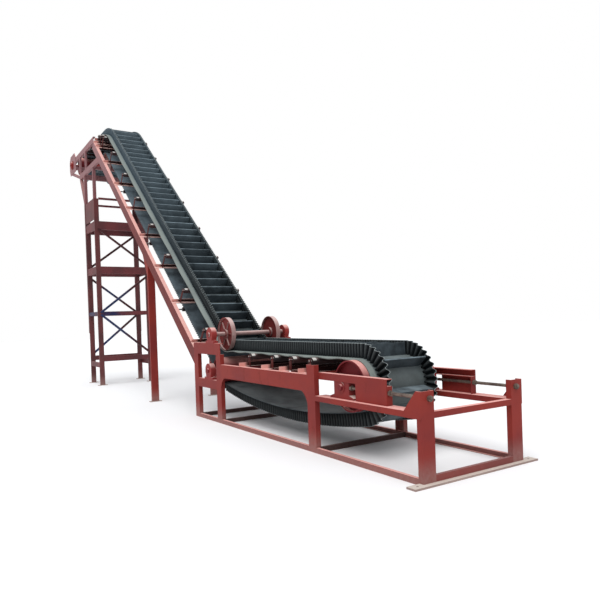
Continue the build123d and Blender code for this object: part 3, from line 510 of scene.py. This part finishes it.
def along_belt(distance):
    """Station, height and outward normal of the belt's back at distances round the loop."""
    distance = np.asarray(distance) % loop_length
    index = np.searchsorted(ends, distance, side="right").clip(0, len(stretches) - 1)
    point = np.zeros(distance.shape + (2,))
    normal = np.zeros(distance.shape + (2,))
    for number, (kind, first, second, start, turn, length) in enumerate(stretches):
        here = index == number
        part = (distance[here] - (ends[number] - length)) / max(length, shortest_stretch)
        angle = start + turn * part
        out = np.stack([np.cos(angle), np.sin(angle)], -1)
        if kind == "arc":
            point[here] = np.asarray(first) + second * out
        else:
            point[here] = np.asarray(first) + part[:, None] * (np.asarray(second) - np.asarray(first))
        normal[here] = out
    return point, normal


print("loop length", round(loop_length, 3), "m")

# %% [markdown]
# ## Corrugated sidewalls
# A sidewall is one rubber sheet folded into even waves, so that it can stretch round a drum. Its plan is a
# flattened sine wave as wide as the wall; its height rises along the belt's normal. The sheet has an inner
# and an outer face a few millimetres apart, closed along the top edge, which is what catches the light.


# %% Build a surface from a grid of points
def surface(name, points, material, loop=True, smooth=True, **carried):
    """A mesh from points[row, column]: columns go along, rows across; loop joins the last to the first."""
    rows, columns = points.shape[:2]
    mesh = bpy.data.meshes.new(name)
    index = np.arange(rows * columns).reshape(rows, columns)
    onward = np.roll(index, -1, axis=1) if loop else index[:, 1:]
    here = index if loop else index[:, :-1]
    faces = np.stack([here[:-1], onward[:-1], onward[1:], here[1:]], -1).reshape(-1, 4)
    mesh.from_pydata(points.reshape(-1, 3), [], faces.tolist())
    if smooth:
        mesh.shade_smooth()
    else:
        mesh.shade_flat()
    for key, values in carried.items():
        spread = np.broadcast_to(np.asarray(values, float), (rows, columns))
        mesh.attributes.new(key, "FLOAT", "POINT").data.foreach_set("value", spread.ravel())
    mesh.materials.append(material)
    piece = bpy.data.objects.new(name, mesh)
    bpy.context.collection.objects.link(piece)
    print(name, "faces", len(faces))
    return piece


def off_belt(distance, across, height):
    """Points of the scene at distances along, across and out from the belt's back, as one array."""
    point, normal = along_belt(distance)
    place = np.zeros(np.broadcast(point[:, 0], across, height).shape + (3,))
    place[..., 0] = tail_x - point[:, 0] - normal[:, 0] * height
    place[..., 1] = across
    place[..., 2] = point[:, 1] + normal[:, 1] * height
    return place


# %% The two walls
wave_length = 0.053
wave_count = round(loop_length / wave_length)
columns_per_wave = 8
flatness = 1.6
sheet_thick = 0.006
wall_middle = 0.335
wall_half = 0.025
wall_swing = wall_half - sheet_thick / 2
# Strength of the painted highlight on the sidewall's top edge and on the outward crest of each fold
top_rim = 0.9
fold_rim = 0.13


def sidewall(name, side):
    """Wave = middle + swing * flattened sine of the way round; each face lies half a thickness off it."""
    count = wave_count * columns_per_wave
    distance = np.arange(count) / count * loop_length
    swing = np.tanh(flatness * np.sin(2 * np.pi * np.arange(count) / columns_per_wave)) / np.tanh(flatness)
    # Share of the sheet's thickness from its middle, share of the wall's height
    outline = np.array([(-0.5, 0), (-0.5, 0.5), (-0.5, 0.96), (-0.3, 1),
                        (0.3, 1), (0.5, 0.96), (0.5, 0.5), (0.5, 0)])
    across = outline[::side, :1]
    up = outline[::side, 1:]
    grid = off_belt(distance, side * (wall_middle + swing * wall_swing + across * sheet_thick),
                    belt_thick + up * sidewall_height)
    # rim is a painted highlight: full on the top edge, faint on the outward crests of the folds
    crest = (np.sign(across) * swing).clip(0, 1) ** 2
    rim = np.where(up > 0.99, top_rim, fold_rim * crest * (up > 0.4))
    return surface(name, grid, wall_rubber, rim=rim)


near_wall = sidewall("sidewall_near", -1)
far_wall = sidewall("sidewall_far", 1)
for wall in (near_wall, far_wall):
    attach(wall, "frame")
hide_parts("belt_sidewall_runs", "belt_sidewall_bends")

# %% [markdown]
# ## The band and its free edges
# Outside the sidewalls the band is only a thin strip, which droops a little between one idler and the next.
# The section across the band is a flat loop of points; the droop grows with the square of the way out from
# the sidewall, and along the belt it follows a cosine with the idlers' pitch, which on the level run is
# about that of the idlers nearest the tail. The number edge, 1 on the free edges where the belt looks up,
# less on the loaded face and more again on a dusty patch beside the tail drum, goes into the mesh for the
# finish to read.


# %% The band with sagging edges
def sag_between(distance, first, pitch):
    """Sag = half of 1 minus the cosine of the way from the first idler: 0 at each idler and 1 midway."""
    return 0.5 - 0.5 * np.cos(2 * np.pi * (distance - first) / pitch)


band_half = 0.45
band_flat = 0.362
core_half = 0.15
droop = 0.016
level_idler_first, level_idler_pitch = 2.05, 0.47
incline_idler_first, incline_idler_pitch = 0.585, 1.135
smoothed = 7
patch_station, patch_reach, patch_amount = 1.62, 0.22, 0.9
loaded_amount = 0.3
edge_steps = band_flat + (band_half - band_flat) * np.linspace(0, 1, 6)
across_top = np.concatenate([-edge_steps[::-1], [-core_half, core_half], edge_steps])
across_band = np.concatenate([across_top, across_top[::-1], across_top[:1]])
out_band = np.concatenate([np.full(len(across_top), belt_thick), np.zeros(len(across_top)), [belt_thick]])
free = ((np.abs(across_band) - band_flat) / (band_half - band_flat)).clip(0, 1)
columns = 1500
distance = np.arange(columns) / columns * loop_length
point, normal = along_belt(distance)
on_level = (normal[:, 1] > 0.999) & (point[:, 0] < incline_start)
on_incline = (np.abs(normal[:, 1] - math.cos(incline)) < 0.001) & (point[:, 0] > incline_start)
sag = np.where(on_level, sag_between(point[:, 0], level_idler_first, level_idler_pitch), 0)
climb = (point[:, 0] - incline_start) / math.cos(incline)
sag = np.where(on_incline, sag_between(climb, incline_idler_first, incline_idler_pitch), sag)
sag = np.convolve(np.pad(sag, smoothed // 2, mode="wrap"), np.ones(smoothed) / smoothed, mode="valid")
height = out_band[:, None] - droop * free[:, None] ** 2 * sag
patch = patch_amount * np.exp(-((point[:, 0] - patch_station) / patch_reach) ** 2) * (normal[:, 1] > 0.9)
free_edge = (free > 0.1)[:, None] * (normal[:, 1] > 0.0)
loaded = ((free <= 0.1) & (out_band > 0))[:, None]
band = surface("belt_band", off_belt(distance, across_band[:, None], height), band_rubber,
               edge=free_edge + loaded * (loaded_amount + patch).clip(0, 1))
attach(band, "frame")
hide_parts("belt_band_runs", "belt_band_bends")

# %% [markdown]
# ## Small fasteners
# Bearings are bolted down. One bolt is a hexagonal head on a round washer: rings of twelve points, of which
# the last is shrunk to close the top. Every bolt of a set is the same template, turned towards its
# direction and moved to its place in one array, and the set is one mesh.


# %% A set of bolts
ring_points = 12


def ring(radius, height):
    """Points of a regular ring at a height."""
    angle = 2 * np.pi * np.arange(ring_points) / ring_points
    return np.stack([radius * np.cos(angle), radius * np.sin(angle), np.full(ring_points, height)], -1)


def bolts(name, places, direction, radius):
    """Bolt = washer of 1.5 times the radius, then a hexagon of the radius, on each place along direction."""
    washer_top = 0.25 * radius
    corner_or_middle = np.where(np.arange(ring_points) % 2, np.cos(np.pi / 6), 1.0)
    flat = ring(radius, 0)[:, :2] * corner_or_middle[:, None]
    rows = [ring(radius * 1.5, 0), ring(radius * 1.5, washer_top), ring(radius * 1.05, washer_top)]
    # Share of the hexagon, height as a share of the radius
    for share, height in ((1, 0.25), (1, 0.85), (0.86, 1.0), (0, 1.0)):
        rows.append(np.column_stack([flat * share, np.full(ring_points, height * radius)]))
    template = np.stack(rows)
    direction = np.asarray(direction, float)
    side = np.cross(direction, (0.3, 0.5, 0.8))
    side /= np.linalg.norm(side)
    turn = np.stack([side, np.cross(direction, side), direction])
    moved = (template @ turn)[None] + np.asarray(places, float)[:, None, None]
    count, rings, sides = moved.shape[:3]
    index = np.arange(count * rings * sides).reshape(count, rings, sides)
    onward = np.roll(index, -1, axis=2)
    faces = np.stack([index[:, :-1], onward[:, :-1], onward[:, 1:], index[:, 1:]], -1).reshape(-1, 4)
    mesh = bpy.data.meshes.new(name)
    mesh.from_pydata(moved.reshape(-1, 3), [], faces.tolist())
    mesh.shade_flat()
    mesh.materials.append(bearing_paint)
    piece = bpy.data.objects.new(name, mesh)
    bpy.context.collection.objects.link(piece)
    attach(piece, "frame")
    print(name, "bolts", count)


# %% Bolts on the bearings
def corners(node, along, up, face):
    """Four places round the axis of a node's plates, on the face that lies face across."""
    x, z = axis_of(node)
    return [(tail_x - x + i * along, face, z + k * up) for i in (-1, 1) for k in (-1, 1)]


foot_height = 0.034
foot_across = 0.668
foot_along = 0.122
foot_bolt_radius = 0.014
for node, seat in (("hold_down_bearings", "upper_beams"), ("bend_drum_bearings", "lower_beams")):
    low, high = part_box(node)
    foot_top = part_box(seat)[1].z + foot_height
    places = [((low.x + high.x) / 2 + along, side * foot_across, foot_top)
              for along in (-foot_along, foot_along) for side in (-1, 1)]
    bolts(node.replace("bearings", "bolts"), places, (0, 0, 1), foot_bolt_radius)

# Bearing, its bolts' name, way along and up from the axis, face across, radius, 1 outwards or -1 inwards
plate_bolts = [
    ("head_bearings", "head_bolts", 0.08, 0.08, 0.734, 0.012, 1),
    ("press_wheel_bearings", "press_bolts", 0.092, 0.05, 0.64, 0.011, -1),
]
for node, name, along, up, face, radius, outwards in plate_bolts:
    for side, word in ((-1, "near"), (1, "far")):
        bolts(f"{name}_{word}", corners(node, along, up, side * face), (0, side * outwards, 0), radius)

# %% [markdown]
# ## Floor, light and camera
# The photograph is a cut-out on white, so floor and backdrop are white to the camera and keep a soft
# shadow. Light is an overcast sky: a large soft lamp overhead and an even world. The camera stands low and
# close to the tail end.

# %% The floor
floor_paint = PaintBox("pale_floor")
floor_material = floor_paint.finish(Base_Color=srgb(240, 240, 240), Roughness=0.9)
floor_half = 60
floor_corners = np.array([[(x * floor_half, y * floor_half, 0) for x in (-1, 1)] for y in (-1, 1)], float)
floor = surface("floor", floor_corners, floor_material, loop=False, smooth=False)

# %% The world: pale light on the object, white where the camera, gloss or glass looks at it
world = bpy.data.worlds.new("overcast")
bpy.context.scene.world = world
world.use_nodes = True
sky = world.node_tree
light_path = sky.nodes.new("ShaderNodeLightPath")
background = next(n for n in sky.nodes if n.type == "BACKGROUND")
sky_colour = (0.94, 0.96, 1.0, 1)
sky_strength = 0.7
background.inputs["Color"].default_value = sky_colour
background.inputs["Strength"].default_value = sky_strength
white = sky.nodes.new("ShaderNodeBackground")
white.inputs["Color"].default_value = (1, 1, 1, 1)
seen = light_path.outputs["Is Camera Ray"]
for name in ("Is Glossy Ray", "Is Transmission Ray"):
    either = sky.nodes.new("ShaderNodeMath")
    either.operation = "MAXIMUM"
    sky.links.new(seen, either.inputs[0])
    sky.links.new(light_path.outputs[name], either.inputs[1])
    seen = either.outputs[0]
switch = sky.nodes.new("ShaderNodeMixShader")
out = next(n for n in sky.nodes if n.type == "OUTPUT_WORLD")
sky.links.new(seen, switch.inputs[0])
sky.links.new(background.outputs[0], switch.inputs[1])
sky.links.new(white.outputs[0], switch.inputs[2])
sky.links.new(switch.outputs[0], out.inputs[0])
print("world set")


# %% The lamp
def lamp(name, energy, place, target, size):
    """A far lamp of an energy, turned to look from a place at a target; size is its angle in radians."""
    data = bpy.data.lights.new(name, "SUN")
    data.energy = energy
    data.angle = size
    holder = bpy.data.objects.new(name, data)
    bpy.context.collection.objects.link(holder)
    holder.location = place
    look = np.array(target, float) - np.array(place, float)
    pitch = math.atan2(math.hypot(look[0], look[1]), -look[2])
    holder.rotation_euler = (pitch, 0, math.atan2(look[0], -look[1]) + math.pi)


lamp("sky_lamp", energy=2.1, place=(5, -6, 17), target=(0, 0, 0), size=0.9)
print("lamp set")

# %% The camera where the photographer stood
# Angles in radians; focal length and optical centre in pixels of the photograph
yaw, pitch, roll = 0.5693, -0.0099, -0.0348
camera_ahead, camera_across, camera_height = 3.8467, -4.4314, 1.5645
picture_width = 600
focal_pixels = 580.48
centre_column, centre_row = 301.15, 324.51
sensor_width = 36
forward = np.array([-math.cos(pitch) * math.cos(yaw), math.cos(pitch) * math.sin(yaw), math.sin(pitch)])
level_right = np.array([math.sin(yaw), math.cos(yaw), 0.0])
level_up = np.cross(level_right, forward)
right = math.cos(roll) * level_right + math.sin(roll) * level_up
up = -math.sin(roll) * level_right + math.cos(roll) * level_up
camera_data = bpy.data.cameras.new("camera")
camera_data.sensor_width = sensor_width
camera_data.lens = focal_pixels / picture_width * sensor_width
camera_data.shift_x = (picture_width / 2 - centre_column) / picture_width
camera_data.shift_y = (centre_row - picture_width / 2) / picture_width
camera = bpy.data.objects.new("camera", camera_data)
bpy.context.collection.objects.link(camera)
turn = np.eye(4)
turn[:3, 0], turn[:3, 1], turn[:3, 2] = right, up, -forward
turn[:3, 3] = (tail_x + camera_ahead, camera_across, camera_height)
camera.matrix_world = Matrix(turn.tolist())
bpy.context.scene.camera = camera
bpy.context.scene.view_settings.view_transform = "Standard"
print("camera at", [round(v, 3) for v in turn[:3, 3]])
